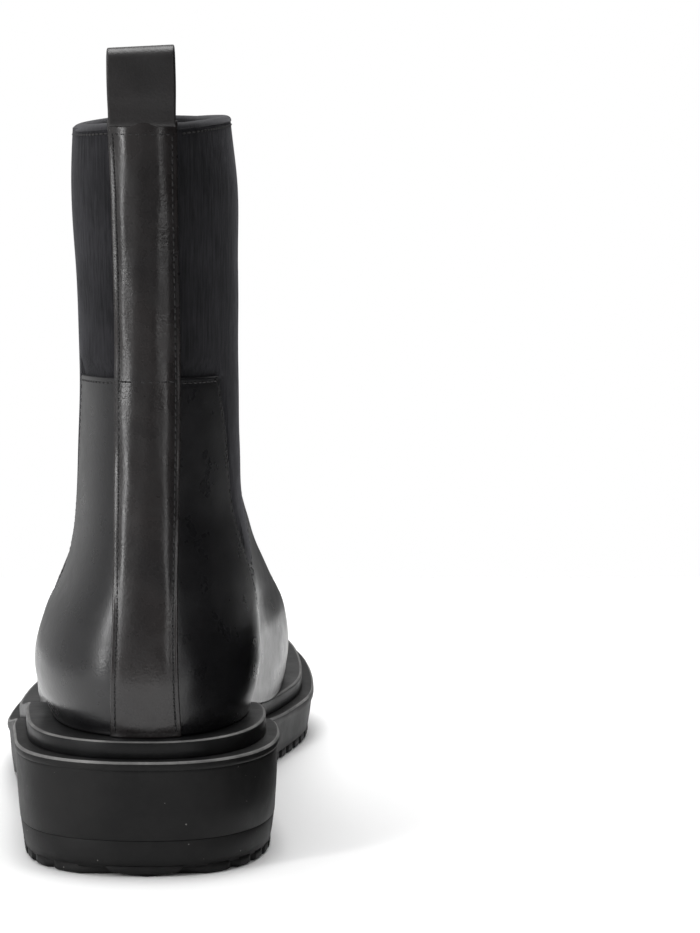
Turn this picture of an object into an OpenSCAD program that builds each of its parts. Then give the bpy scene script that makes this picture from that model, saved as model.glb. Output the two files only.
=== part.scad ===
// Tall pull-on chelsea boot with a lugged rubber sole, for the left foot.
// +Y points to the toe, +X to the inner side of the foot and +Z up.
// The upper is described by level outlines: at each height there is a back point, a front point
// and a half width on each side. A place on it is [turn, height], where turn 0 is the back seam,
// +1 the front by the inner side and -1 the front by the outer side.

/* [Sole] */
// Length of the outsole
sole_length = 318; // [305:1:335]
// Reach of the heel to the inner side
heel_inner = 43.5; // [40:0.5:47]
// Reach of the heel to the outer side, at its back
heel_outer = 47; // [43:0.5:50]
// Reach of the outsole to the inner side at the ball
ball_inner = 50.5; // [47:0.5:54]
// Reach of the outsole to the outer side at the ball
ball_outer = 65.5; // [62:0.5:69]
// Height of the heel seat above the ground
heel_height = 46; // [42:1:52]
// Height of the forefoot seat above the ground
ball_height = 24.5; // [20:0.5:28]
// How far the toe end is lifted
toe_spring = 12; // [7:1:15]
// Thickness of the midsole
midsole_t = 6; // [5:0.5:7]
// Thickness of the outsole where it lies on the heel block
heel_band_t = 3.8; // [3:0.2:5]
// Thickness of the treaded lift at the bottom of the heel
heel_lift_t = 12.7; // [10:0.1:15]
// Length of the heel, from its back to its breast
heel_length = 74; // [68:1:80]
// Step from the outsole's edge in to the midsole's edge
midsole_ledge = 4.7; // [4:0.1:6]
// Step from the outsole's edge in to the leather
leather_ledge = 11.7; // [11:0.1:13]

/* [Tread] */
// Distance from one tread bar to the next
tread_pitch = 9.4; // [8:0.1:11]
// Width of a groove between two bars
groove_w = 3.6; // [3:0.1:4.5]
// Depth of a groove
groove_d = 3; // [2:0.1:4]

/* [Upper] */
// Height of the topline above the heel seat
shaft_height = 206; // [190:1:225]
// Width of the shaft at mid height
shaft_width = 58; // [54:0.5:64]
// Where the front of the shaft stands, from the back of the sole
shaft_front_y = 132; // [124:1:140]
// Height of the quarters' top edge above the heel seat
quarter_height = 121; // [110:1:130]
// Thickness of the outer leather
leather_t = 1.4; // [1.2:0.1:1.8]
// Thickness of the stiffeners and the elastic
middle_t = 1.3; // [1:0.1:1.6]
// Thickness of the lining
lining_t = 1; // [0.8:0.1:1.3]
// Gap left for glue between two layers
glue = 0.1; // [0.05:0.05:0.2]
// Space between the outer leather and the layer behind it
leather_gap = 0.2; // [0.15:0.05:0.4]
// Space between the lining and the layer in front of it
lining_gap = 0.35; // [0.3:0.05:0.5]
// How far a hidden edge runs in under the piece that covers it
tuck = 6; // [4:0.5:8]
// Height of the binding along the topline
binding_h = 2; // [1.5:0.1:3]

/* [Back strap and pull loop] */
// Width of the strap down the back
strap_w = 22; // [18:0.5:26]
// Width of the pull loop
loop_w = 22.6; // [18:0.2:26]
// Height of the pull loop above its root
loop_height = 23.3; // [21:0.1:28]
// Depth of the loop from leaf to leaf, outside
loop_depth = 8.4; // [7.4:0.1:11]
// Radius of the loop's sewn root
root_r = 1.7; // [1.4:0.1:2]
// Free space around the root
root_gap = 0.3; // [0.3:0.05:0.6]

/* [Inside] */
// Thickness of the insole board
board_t = 2; // [1.6:0.1:2.6]
// Thickness of the footbed
footbed_t = 3.6; // [3:0.1:5]
// Radius of the foam pad under the heel
pad_r = 22; // [18:0.5:24]
// Thickness of the foam pad
pad_t = 1.8; // [1.4:0.1:2.2]
// Width of the steel shank
shank_w = 16; // [12:0.5:18]
// Thickness of the shank
shank_t = 1.3; // [1:0.1:1.6]
// Where the shank begins, from the back of the sole
shank_start = 43; // [40:1:48]
// Length of the shank
shank_length = 124; // [110:1:130]
// Thickness of the cork filler
filler_t = 2; // [1.5:0.1:2.5]
// Radius of a shank rivet
rivet_r = 2; // [1.5:0.1:2.5]
// Radius of a heel nail
nail_r = 1.4; // [1.2:0.1:1.8]
// Height of a nail's tip above the ground
nail_tip = 20; // [16:1:24]
// Radius of a nail's head
nail_head_r = 3; // [2.5:0.1:3.5]
// Height of a nail's head
nail_head_h = 1; // [0.8:0.1:1.2]
// Radial clearance of rivets, nails and what lies in a pocket
play = 0.05; // [0.05:0.01:0.1]

/* [Hidden] */

INNER = 1;
OUTER = -1;
wide = 400;                        // more than the boot is wide, for cuts
heel_drawn = 90.5;                 // the heel's width for which the upper's widths are drawn
heel_widening = 4.5;               // how far the outer side widens from the heel's back to its breast
ball_inner_y = 240;                // widest place on the inner side
ball_outer_y = 205;                // widest place on the outer side
waist_inner = 6.5;                 // how far the arch pulls in from the heel's width
square = 2.3;                      // exponent of the round ends, where 2 is an ellipse
toe_swing = 4;                     // how far the toe leans to the inner side
seat_end = 55;                     // the heel seat is flat up to here
seat_down = 205;                   // and reaches the forefoot's height here
spring_start = 230;
waist_edge = 28;                   // height of the outsole's underside just ahead of the heel
waist_down = 180;                  // where the outsole reaches the ground
ankle = 75;                        // height of the ankle above the heel seat
topline = heel_height + shaft_height;
leather_top = topline - binding_h;
toe_tip = sole_length - leather_ledge - 0.3;
shaft_back_round = 62;             // length of the upper's round back end

// Depths below the outer skin of the upper
middle_out = -leather_t - leather_gap;
middle_in = middle_out - middle_t;
lining_out = middle_in - lining_gap;
lining_in = lining_out - lining_t;
inner_clear = lining_in - 0.3;

function mix(a, b, u) = a + (b - a) * u;
function clamp01(u) = min(1, max(0, u));
function ease(a, b, x) = let (u = clamp01((x - a) / (b - a))) u * u * (3 - 2 * u);
function rounded(u, n) = pow(max(0, 1 - pow(clamp01(u), n)), 1 / n);

// Smooth curve through [place, value] keys, level beyond its ends
function slope(k, i) =
    let (a = max(0, i - 1), b = min(len(k) - 1, i + 1))
    (k[b][1] - k[a][1]) / (k[b][0] - k[a][0]);
function curve_from(k, x, i) =
    (i < len(k) - 2 && k[i + 1][0] <= x) ? curve_from(k, x, i + 1) :
    let (h = k[i + 1][0] - k[i][0], u = (x - k[i][0]) / h)
    (2 * u * u * u - 3 * u * u + 1) * k[i][1] + (u * u * u - 2 * u * u + u) * h * slope(k, i)
    + (3 * u * u - 2 * u * u * u) * k[i + 1][1] + (u * u * u - u * u) * h * slope(k, i + 1);
function curve(k, x) =
    x <= k[0][0] ? k[0][1] :
    x >= k[len(k) - 1][0] ? k[len(k) - 1][1] :
    curve_from(k, x, 0);

// ---- Sole ----

// Height of the seat that the upper stands on
function seat(y) =
    mix(heel_height, ball_height, ease(seat_end, seat_down, y))
    + toe_spring * ease(spring_start, sole_length, y);
// Underside of the outsole
function underside(y) =
    y < heel_length ? heel_height - midsole_t - heel_band_t :
    waist_edge * (1 - ease(heel_length, waist_down, y))
    + toe_spring * ease(spring_start, sole_length, y);
// Sideways lean of the foot's middle line
function lean(y) = toe_swing * ease(150, 300, y);
// Half width of the sole's full outline, without its round ends
function sole_width(side, y) =
    side == INNER ?
        heel_inner - waist_inner * ease(50, 130, y)
        + (ball_inner + waist_inner - heel_inner) * ease(160, ball_inner_y + 8, y) :
        heel_outer + heel_widening * ease(25, 80, y)
        + (ball_outer - heel_outer - heel_widening) * ease(70, ball_outer_y, y);
function ball_y(side) = side == INNER ? ball_inner_y : ball_outer_y;
// Length of the sole's round back end on each side
function heel_round(side) = side == INNER ? 52 : 42;
function outline_x(side, y, inset) =
    (sole_width(side, y) - inset)
    * rounded(1 - (y - inset) / heel_round(side), square)
    * rounded((y - ball_y(side)) / (sole_length - inset - ball_y(side)), square);
function outline_point(side, u, inset) =
    let (y = mix(inset, sole_length - inset, (1 - cos(180 * u)) / 2))
    [side * outline_x(side, y, inset) + lean(y), y];
outline_steps = 30;
function outline(inset) = concat(
    [for (i = [0 : outline_steps]) outline_point(INNER, i / outline_steps, inset)],
    [for (i = [1 : outline_steps - 1]) outline_point(OUTER, 1 - i / outline_steps, inset)]);

// Stations along the foot at which a layer's side view bends
function stations(a, b) = concat([a],
    [for (y = [ceil((a + 1) / 10) * 10 : 10 : b - 1]) if (y > seat_end || y == 50) y], [b]);
// Slab between two heights above the seat, from y = a to y = b
module seat_slab(low, high, a, b) {
    ys = stations(a, b);
    back = [for (i = [len(ys) - 1 : -1 : 0]) [ys[i], seat(ys[i]) + low]];
    rotate([90, 0, 90])
        linear_extrude(height = wide, center = true)
            polygon(concat([for (y = ys) [y, seat(y) + high]], back));
}

// ---- Upper ----

// Key heights are above the heel seat. Above the ankle they stretch with the shaft.
shaft_drawn = 206;
shaft_width_drawn = 58;
ball_inner_drawn = 50.5;
ball_outer_drawn = 65.5;
function lift(h) =
    heel_height + (h <= ankle ? h : ankle + (h - ankle) * (shaft_height - ankle) / (shaft_drawn - ankle));
function key(k) = [for (p = k) [lift(p[0]), p[1]]];
function low_key(k) = [for (p = k) [ball_height + p[0], p[1]]];

back_keys = key([[-22, 12], [0, 12], [20, 8.5], [48, 11], [75, 15], [121, 17], [206, 13]]);
// Share of the way from the shaft's front to the toe tip
ridge_keys = concat(
    low_key([[0, 0.994], [13, 1], [24, 0.981], [32, 0.929], [38, 0.853], [44.5, 0.75]]),
    key([[30, 0.628], [40, 0.5], [52, 0.378], [66, 0.269], [84, 0.167], [104, 0.096],
        [129, 0.051], [164, 0.022], [206, 0]]));
heel_inner_keys = key([[-22, 33], [0, 33.5], [11, 36.5], [22, 37.5], [36, 36], [49, 34], [62, 31.6],
    [75, 29.5], [94, 29], [121, 28.8], [154, 28.8], [183, 28.7], [206, 26.3]]);
heel_outer_keys = key([[-22, 35], [0, 37], [9, 41], [22, 42.3], [36, 38.7], [49, 32.4], [62, 29],
    [75, 27.8], [94, 27], [121, 26.5], [154, 27.3], [183, 28.5], [206, 27.4]]);
ball_inner_keys = low_key([[0, 39], [14, 41], [30, 39.5], [45, 35.3], [59, 33], [75, 30.6],
    [84, 28.9], [96, 27.6], [115, 28.5]]);
ball_outer_keys = low_key([[0, 52], [14, 53.5], [30, 51.5], [45, 46], [59, 40], [75, 34], [96, 28],
    [115, 27]]);

function back_y(z) = curve(back_keys, z);
function front_y(z) = mix(shaft_front_y, toe_tip, curve(ridge_keys, z));
// The widths grow with the heel below the ankle and with the shaft above it
function girth_scale(z) =
    mix((heel_inner + heel_outer) / heel_drawn, shaft_width / shaft_width_drawn, ease(lift(30), lift(90), z));
function half_width(side, y, z) =
    let (heel = curve(side == INNER ? heel_inner_keys : heel_outer_keys, z) * girth_scale(z),
        ball = mix(curve(side == INNER ? ball_inner_keys : ball_outer_keys, z)
            + (side == INNER ? ball_inner - ball_inner_drawn : ball_outer - ball_outer_drawn)
            * (1 - ease(lift(20), lift(70), z)),
            heel, ease(lift(75), lift(94), z)),
        reach = side == INNER ? mix(225, 135, ease(70, 108, z)) : 195,
        ahead = ease(75, reach, y),
        arch = side == INNER ? waist_inner * ease(50, 120, y) * (1 - ease(120, 215, y))
            * (1 - ease(50, 110, z)) : 0,
        widest = mix(side == INNER ? 225 : 195, 75, ease(50, 150, z)))
    (mix(heel, ball, ahead) - arch)
    * rounded(1 - (y - back_y(z)) / shaft_back_round, square)
    * rounded((y - widest) / (front_y(z) - widest), 2.25);
function wrap(turn) = turn > 1 ? turn - 2 : turn < -1 ? turn + 2 : turn;
// Point of the outer skin
function skin(turn, z) =
    let (t = wrap(turn), side = t < 0 ? OUTER : INNER,
        y = mix(back_y(z), front_y(z), (1 - cos(180 * abs(t))) / 2))
    [side * half_width(side, y, z) + lean(y) * (1 - 0.5 * ease(60, 130, z)), y, z];
function unit(v) = v / norm(v);
turn_step = 0.006;
z_step = 0.4;
function normal(turn, z) = unit(cross(
    skin(turn + turn_step, z) - skin(turn - turn_step, z),
    skin(turn, z + z_step) - skin(turn, z - z_step)));
// Point at a depth from the skin, where a positive depth is outside it
function shell(turn, z, depth) = skin(turn, z) + depth * normal(turn, z);
// Turn at which the level outline reaches a place along the foot
function turn_at(y, z) =
    acos(1 - 2 * clamp01((y - back_y(z)) / (front_y(z) - back_y(z)))) / 180;
// Turn at which the back of the outline is a given width from the back seam
function turn_across(side, x, z) =
    let (w = half_width(side, back_y(z) + shaft_back_round, z))
    turn_at(back_y(z) + shaft_back_round * (1 - rounded(x / w, square)), z);

// Height on the line turn_of(z) at which the shell's point reaches a target surface
function settle(turn_of, depth, target, z, n = 8) =
    n == 0 ? z :
    let (p = shell(turn_of(z), z, depth))
    settle(turn_of, depth, target, z + target(p) - p.z, n - 1);
on_seat = function(p) seat(p.y) + glue;
// The topline is level across the strap and rises beyond it towards the inner side
rim_tilt = 0.1;
rim_level = 12.5;
function rim_rise(x) = rim_tilt * (max(0, x - rim_level) + min(0, x + rim_level));
at_top = function(p) leather_top + rim_rise(p.x);

// Rows crowd together where the instep and the toe lie flat
row_share = [[20, 0], [40, 0.09], [50, 0.15], [57, 0.21], [62, 0.27], [68, 0.35], [76, 0.45],
    [86, 0.53], [98, 0.6], [112, 0.66], [130, 0.72], [160, 0.8], [210, 0.9], [260, 1]];
row_height = [for (r = row_share) [r[1], r[0]]];
function row_z(z0, z1, v) =
    let (q0 = lookup(z0, row_share), q1 = lookup(z1, row_share))
    lookup(mix(q0, q1, v), row_height)
    + mix(z0 - lookup(q0, row_height), z1 - lookup(q1, row_height), v);

// Closed sheet between two depths. turn_of(u, z) gives its columns and low and high its ends.
function sheet_points(turn_of, depth, low, high, nu, nv) =
    [for (i = [0 : nu])
        let (line = function(z) turn_of(i / nu, z),
            z0 = settle(line, depth, low, 50),
            z1 = settle(line, depth, high, 100))
        for (j = [0 : nv])
            let (z = row_z(z0, z1, j / nv))
            shell(line(z), z, depth)];
function edge_loop(nu, nv) = concat(
    [for (i = [0 : nu - 1]) i * (nv + 1)],
    [for (j = [0 : nv - 1]) nu * (nv + 1) + j],
    [for (i = [nu : -1 : 1]) i * (nv + 1) + nv],
    [for (j = [nv : -1 : 1]) j]);
module sheet(turn_of, inside, outside, low, high, nu, nv) {
    n = (nu + 1) * (nv + 1);
    rim = edge_loop(nu, nv);
    quads = [for (i = [0 : nu - 1]) for (j = [0 : nv - 1])
        let (a = i * (nv + 1) + j) [a, a + nv + 1, a + nv + 2, a + 1]];
    polyhedron(
        points = concat(
            sheet_points(turn_of, outside, low, high, nu, nv),
            sheet_points(turn_of, inside, low, high, nu, nv)),
        faces = concat(
            [for (q = quads) each [[q[0], q[2], q[1]], [q[0], q[3], q[2]]]],
            [for (q = quads) each [[n + q[0], n + q[1], n + q[2]], [n + q[0], n + q[2], n + q[3]]]],
            [for (i = [0 : len(rim) - 1])
                let (a = rim[i], b = rim[(i + 1) % len(rim)])
                each [[a, b, n + b], [a, n + b, n + a]]]),
        convexity = 8);
}

// Seam lines of the upper, as places along the foot at a height
quarter_edge_inner = key([[-22, 120], [-6, 112], [10, 95], [28, 78], [42, 66], [53, 58], [72, 50],
    [97, 46], [quarter_height, 38]]);
quarter_edge_outer = key([[-22, 120], [-6, 112], [10, 96], [28, 81], [42, 71], [53, 65], [72, 58.5],
    [97, 54], [quarter_height, 49]]);
function quarter_edge(side) = side == INNER ? quarter_edge_inner : quarter_edge_outer;
function quarter_front(side, z) = curve(quarter_edge(side), z);
function turned(k) = [for (i = [len(k) - 1 : -1 : 0]) [k[i][1], k[i][0]]];
edge_heights_inner = turned(quarter_edge_inner);
edge_heights_outer = turned(quarter_edge_outer);
quarter_dip = 0.055;               // how much the quarters' top edge falls for each mm forward
function quarter_top(y) = lift(quarter_height) - quarter_dip * max(0, y - back_y(lift(quarter_height)));
wing_back = [58, lift(53)];        // where the vamp's top edge meets the quarter
wing_tip = [122, lift(38)];        // the lowest corner of the elastic
function wing_edge(y) = mix(wing_back[1], wing_tip[1], clamp01((y - wing_back[0]) / (wing_tip[0] - wing_back[0])));
front_edge = key([[38, 122], [74, 116], [114, 108], [154, 105], [206, 106]]);
function gusset_front(z) = curve(front_edge, z);
function gusset_low(side, y) =
    (y < wing_back[0] + (side == OUTER ? 6 : 0)
        ? lookup(y, side == INNER ? edge_heights_inner : edge_heights_outer) : wing_edge(y)) - tuck;
lining_seam = 96;
seam_gap = 0.1;

module quarter(side) {
    turn_of = function(u, z) side * mix(0.004, turn_at(quarter_front(side, z), z), side == INNER ? u : 1 - u);
    sheet(turn_of, -leather_t, 0, on_seat, function(p) quarter_top(p.y), 14, 12);
}

module gusset(side) {
    turn_of = function(u, z) side * mix(turn_across(side, strap_w / 2 - tuck, z),
        turn_at(gusset_front(z) + tuck, z), side == INNER ? u : 1 - u);
    sheet(turn_of, middle_in, middle_out, function(p) gusset_low(side, p.y), at_top, 22, 12);
}

module vamp() {
    turn_of = function(u, z) mix(turn_at(quarter_front(INNER, z) + seam_gap, z),
        2 - turn_at(quarter_front(OUTER, z) + seam_gap, z), u);
    color("#26262a") sheet(turn_of, -leather_t, 0, on_seat, function(p) wing_edge(p.y), 44, 10);
}
module shaft_front() {
    turn_of = function(u, z) mix(turn_at(gusset_front(z), z), 2 - turn_at(gusset_front(z), z), u);
    color("#26262a") sheet(turn_of, -leather_t, 0, function(p) wing_tip[1] + seam_gap, at_top, 24, 12);
}
module quarter_medial() {
    color("#232327") quarter(INNER);
}
module quarter_lateral() {
    color("#232327") quarter(OUTER);
}
module gusset_medial() {
    color("#3a3a3e") gusset(INNER);
}
module gusset_lateral() {
    color("#3a3a3e") gusset(OUTER);
}
strap_gap = 0.2;                   // space between the strap and what it covers
module back_strap() {
    color("#2c292b") sheet(
        function(u, z) u < 0.5 ? -mix(turn_across(OUTER, strap_w / 2, z), 0, 2 * u)
            : mix(0, turn_across(INNER, strap_w / 2, z), 2 * u - 1),
        strap_gap, strap_gap + leather_t, on_seat, function(p) topline - root_gap, 6, 20);
}
module lining_front() {
    color("#4a4a4d") sheet(
        function(u, z) mix(turn_at(lining_seam + seam_gap, z), 2 - turn_at(lining_seam + seam_gap, z), u),
        lining_in, lining_out, on_seat, at_top, 32, 16);
}
module lining_back() {
    color("#4a4a4d") sheet(
        function(u, z) mix(-turn_at(lining_seam, z), turn_at(lining_seam, z), u),
        lining_in, lining_out, on_seat, at_top, 22, 14);
}
counter_top = 50;                  // height of the counter at the back seam
counter_end = 88;                  // how far forward it reaches
counter_inset = 0.3;               // extra space between the counter and the lining
module heel_counter() {
    color("#8a7458") sheet(
        function(u, z) mix(-turn_at(counter_end, z), turn_at(counter_end, z), u),
        middle_in + counter_inset, middle_out, on_seat,
        function(p) lift(counter_top) - 36 * ease(10, counter_end, p.y), 24, 7);
}
puff_start = 252;                  // how far back the toe puff reaches
puff_inset = 0.25;                 // extra space between the toe puff and the vamp
module toe_puff() {
    color("#8a7458") sheet(
        function(u, z) mix(turn_at(min(puff_start, front_y(z) - 6), z),
            2 - turn_at(min(puff_start, front_y(z) - 6), z), u),
        middle_in, middle_out - puff_inset, on_seat, function(p) ball_height + 45, 28, 10);
}

// Ring along the topline
ring_steps = 48;
module topline_binding() {
    ring = [for (i = [0 : ring_steps - 1])
        let (t = -1 + 2 * i / ring_steps, out = shell(t, leather_top, 0), in = shell(t, leather_top, lining_in),
            out_low = at_top(out) + glue, in_low = at_top(in) + glue)
        each [[out.x, out.y, out_low], [out.x, out.y, out_low + binding_h - glue],
            [in.x, in.y, in_low + binding_h - glue], [in.x, in.y, in_low]]];
    n = len(ring);
    color("#303034") polyhedron(points = ring,
        faces = [for (i = [0 : ring_steps - 1]) for (k = [0 : 3])
            let (a = 4 * i + k, b = 4 * i + (k + 1) % 4, c = (b + 4) % n, d = (a + 4) % n)
            each [[a, b, c], [a, c, d]]],
        convexity = 4);
}

// ---- Pull loop ----
loop_y = back_y(topline) + (-strap_gap - leather_t - lining_in) / 2;
loop_z = topline + root_gap + root_r;
loop_r = loop_depth / 2;
loop_top = loop_height - loop_r;   // centre of the loop's round top, above the root
loop_swell = 8;                    // where the leaves reach their full spacing
inner_r = loop_r - leather_t;
function arc(r, cz, a, b, n) = [for (i = [0 : n]) let (w = mix(a, b, i / n)) [r * cos(w), cz + r * sin(w)]];
leaf_gap = 0.8;                    // space between the two leaves just above the root
module pull_loop() {
    color("#262427") translate([0, loop_y, loop_z]) {
        rotate([0, 90, 0]) cylinder(h = loop_w, r = root_r, center = true, $fn = 48);
        rotate([90, 0, 90]) linear_extrude(height = loop_w, center = true)
            difference() {
                polygon(concat(arc(loop_r, loop_top, 0, 180, 20),
                    [[-loop_r, loop_swell], [-0.8 * root_r, 0], [0.8 * root_r, 0], [loop_r, loop_swell]]));
                polygon(concat(arc(inner_r, loop_top, 0, 180, 20),
                    [[-inner_r, loop_swell + 1], [-leaf_gap / 2, 2 * root_r], [leaf_gap / 2, 2 * root_r],
                        [inner_r, loop_swell + 1]]));
            }
    }
}

// ---- Inside of the shoe ----

// Outline of what lies on the seat inside the lining
floor_steps = 56;
function floor_outline(depth) =
    [for (i = [0 : floor_steps - 1])
        let (t = -1 + 2 * i / floor_steps,
            z = settle(function(z) t, depth, on_seat, 40),
            p = shell(t, z, depth))
        [p.x, p.y]];
module floor_layer(low, high, depth) {
    intersection() {
        seat_slab(low, high, 0, sole_length);
        linear_extrude(height = wide) polygon(floor_outline(depth));
    }
}
board_z = glue;
bed_z = board_z + board_t + glue;
pad_y = 42;
pad_depth = pad_t + glue;
bed_inset = 0.9;                   // extra space between the footbed and the lining
module footbed() {
    color("#2a2a2c") difference() {
        floor_layer(bed_z, bed_z + footbed_t, inner_clear - bed_inset);
        translate([0, pad_y, 0]) cylinder(h = heel_height + bed_z + pad_depth, r = pad_r + play, $fn = 64);
    }
}
module heel_pad() {
    color("#c9b26a") intersection() {
        seat_slab(bed_z, bed_z + pad_t, 0, sole_length);
        translate([0, pad_y, 0]) cylinder(h = wide, r = pad_r, $fn = 64);
    }
}
rivet_places = [[0, shank_start + 14], [0, shank_start + shank_length - 14]];
module rivet_shape(r, low, high) {
    for (p = rivet_places)
        translate([p.x, p.y, seat(p.y) + low]) cylinder(h = high - low, r = r, $fn = 32);
}
module insole_board() {
    color("#b08d5e") difference() {
        floor_layer(board_z, board_z + board_t, inner_clear);
        rivet_shape(rivet_r + play, -5, 10);
    }
}
shank_depth = shank_t + 2 * glue;
module shank_band(low, high, grow) {
    intersection() {
        seat_slab(low, high, shank_start - grow, shank_start + shank_length + grow);
        cube([shank_w + 2 * grow, 2 * wide, 2 * wide], center = true);
    }
}
module shank() {
    color("#9a9da1") difference() {
        shank_band(-glue - shank_t, -glue, 0);
        rivet_shape(rivet_r + play, -5, 10);
    }
}
rivet_sink = 0.7;                  // the rivets' flat ends stay inside the sloping layers
module shank_rivets() {
    color("#b9babd") rivet_shape(rivet_r, rivet_sink - glue - shank_t, board_z + board_t - rivet_sink);
}
filler_start = shank_start + shank_length + 6;
filler_end = 290;
filler_inset = inner_clear - 4;
module filler_shape(low, high, inset) {
    intersection() {
        seat_slab(low, high, filler_start + inset, filler_end - inset);
        linear_extrude(height = wide) polygon(floor_outline(filler_inset - inset));
    }
}
module bottom_filler() {
    color("#b98f5a") filler_shape(-glue - filler_t, -glue, play);
}

// ---- Sole unit ----
nail_places = [[0, 20], [24, 30], [-24, 30], [27, 56], [-27, 56]];
module nail_shape(r, head_r, low) {
    for (p = nail_places) translate([p.x, p.y, 0]) {
        translate([0, 0, low]) cylinder(h = heel_height - glue - nail_head_h - low, r = r, $fn = 24);
        translate([0, 0, heel_height - glue - nail_head_h]) cylinder(h = nail_head_h, r = head_r, $fn = 32);
    }
}
module nail_holes() {
    for (p = nail_places) translate([p.x, p.y, 0]) {
        translate([0, 0, nail_tip - glue]) cylinder(h = wide, r = nail_r + play, $fn = 24);
        translate([0, 0, heel_height - 2 * glue - nail_head_h]) cylinder(h = wide, r = nail_head_r + play, $fn = 32);
    }
}
module heel_nails() {
    color("#c2a560") nail_shape(nail_r, nail_head_r, nail_tip);
}
module midsole() {
    color("#1f1f21") difference() {
        intersection() {
            seat_slab(-midsole_t, 0, 0, sole_length);
            linear_extrude(height = wide) polygon(outline(midsole_ledge));
        }
        shank_band(-shank_depth, 1, play);
        filler_shape(-filler_t - 2 * glue, 1, 0);
        nail_holes();
    }
}
// Side view of the outsole, from the heel's back over the toe and back along the ground
function tread_stations() = [for (y = [heel_length : 8 : sole_length + 7]) min(y, sole_length)];
module tread_grooves(first, last) {
    for (y = [first + tread_pitch / 2 : tread_pitch : last])
        translate([-wide / 2, y, -1])
            cube([wide, groove_w, 1 + groove_d + (y > heel_length ? underside(y) : 0)]);
}
tread_start = 172;
module outsole() {
    tops = stations(0, sole_length);
    lows = tread_stations();
    low_side = [for (i = [len(lows) - 1 : -1 : 0]) [lows[i], underside(lows[i])]];
    color("#1b1b1c") difference() {
        intersection() {
            rotate([90, 0, 90]) linear_extrude(height = wide, center = true)
                polygon(concat([for (y = tops) [y, seat(y) - midsole_t]], low_side,
                    [[heel_length, underside(0)], [0, underside(0)]]));
            linear_extrude(height = wide) polygon(outline(0));
        }
        tread_grooves(tread_start, sole_length - 6);
        nail_holes();
    }
}
module heel_slice(low, high, inset) {
    translate([0, 0, low]) linear_extrude(height = high - low)
        intersection() {
            polygon(outline(inset));
            translate([-wide / 2, -1]) square([wide, heel_length + 1]);
        }
}
block_inset = 0.8;                 // the heel draws in towards the ground
lift_inset = 2;
module heel_block() {
    color("#1b1b1c") difference() {
        heel_slice(heel_lift_t, heel_height - midsole_t - heel_band_t, block_inset);
        nail_holes();
    }
}
module heel_lift() {
    color("#19191a") difference() {
        heel_slice(0, heel_lift_t, lift_inset);
        tread_grooves(0, heel_length - 4);
    }
}

// The origin is on the ground in the middle of the boot
sole_points = outline(0);
middle_x = (max([for (p = sole_points) p.x]) + min([for (p = sole_points) p.x])) / 2;
module place() {
    translate([-middle_x, -sole_length / 2, 0]) children();
}

place() vamp();
place() shaft_front();
place() quarter_medial();
place() quarter_lateral();
place() back_strap();
place() pull_loop();
place() gusset_medial();
place() gusset_lateral();
place() topline_binding();
place() lining_front();
place() lining_back();
place() heel_counter();
place() toe_puff();
place() footbed();
place() heel_pad();
place() insole_board();
place() shank();
place() shank_rivets();
place() bottom_filler();
place() midsole();
place() outsole();
place() heel_block();
place() heel_lift();
place() heel_nails();
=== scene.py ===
"""Looks of the chelsea boot: leather, ribbed elastic, seams and a lugged rubber sole."""
import math

import bpy
import numpy as np
from mathutils import Euler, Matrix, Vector, kdtree


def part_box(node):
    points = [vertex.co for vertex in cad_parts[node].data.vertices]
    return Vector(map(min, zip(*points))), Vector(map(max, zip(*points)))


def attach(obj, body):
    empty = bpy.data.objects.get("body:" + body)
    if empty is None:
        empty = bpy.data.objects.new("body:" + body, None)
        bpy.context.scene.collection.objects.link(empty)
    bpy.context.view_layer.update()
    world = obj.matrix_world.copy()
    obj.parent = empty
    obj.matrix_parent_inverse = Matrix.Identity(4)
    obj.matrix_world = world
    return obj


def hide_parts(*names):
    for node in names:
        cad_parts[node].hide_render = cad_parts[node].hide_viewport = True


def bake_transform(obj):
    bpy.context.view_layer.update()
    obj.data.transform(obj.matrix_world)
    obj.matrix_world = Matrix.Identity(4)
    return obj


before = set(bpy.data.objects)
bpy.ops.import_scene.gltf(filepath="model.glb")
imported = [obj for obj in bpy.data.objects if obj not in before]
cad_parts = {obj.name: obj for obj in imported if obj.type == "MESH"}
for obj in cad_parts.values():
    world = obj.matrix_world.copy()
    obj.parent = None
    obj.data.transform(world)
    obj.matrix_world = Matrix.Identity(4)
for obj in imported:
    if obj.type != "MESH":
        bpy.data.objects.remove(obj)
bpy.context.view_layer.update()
MM = 0.001

# --- The boot's form, in millimetres from the back of the sole, as in the CAD ---
INNER, OUTER = 1, -1
SOLE_LENGTH = 318.0
HEEL_HEIGHT = 46.0
BALL_HEIGHT = 24.5
TOE_SPRING = 12.0
MIDSOLE_T = 6.0
HEEL_BAND_T = 3.8
HEEL_LIFT_T = 12.7
HEEL_LENGTH = 74.0
HEEL_INNER = 43.5
HEEL_OUTER = 47.0
HEEL_WIDENING = 4.5
BALL_INNER = 50.5
BALL_OUTER = 65.5
WAIST_INNER = 6.5
LEATHER_LEDGE = 11.7
TREAD_PITCH = 9.4
GROOVE_W = 3.6
GROOVE_D = 3.0
TREAD_START = 172.0
SPRING_START = 230.0
SQUARE = 2.3
TOE_SQUARE = 2.25
TOPLINE = 252.0
RIM_LEVEL = 12.5
RIM_TILT = 0.1
LEATHER_T = 1.4
LINING_OUT = -3.2
LINING_IN = -4.25
LINING_SEAM = 96.0
STRAP_HALF = 11.0
SHAFT_FRONT = 132.0
BACK_ROUND = 62.0
QUARTER_TOP = 167.0
TOE_TIP = SOLE_LENGTH - LEATHER_LEDGE - 0.3
HEEL_TOP = HEEL_HEIGHT - MIDSOLE_T - HEEL_BAND_T

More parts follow.
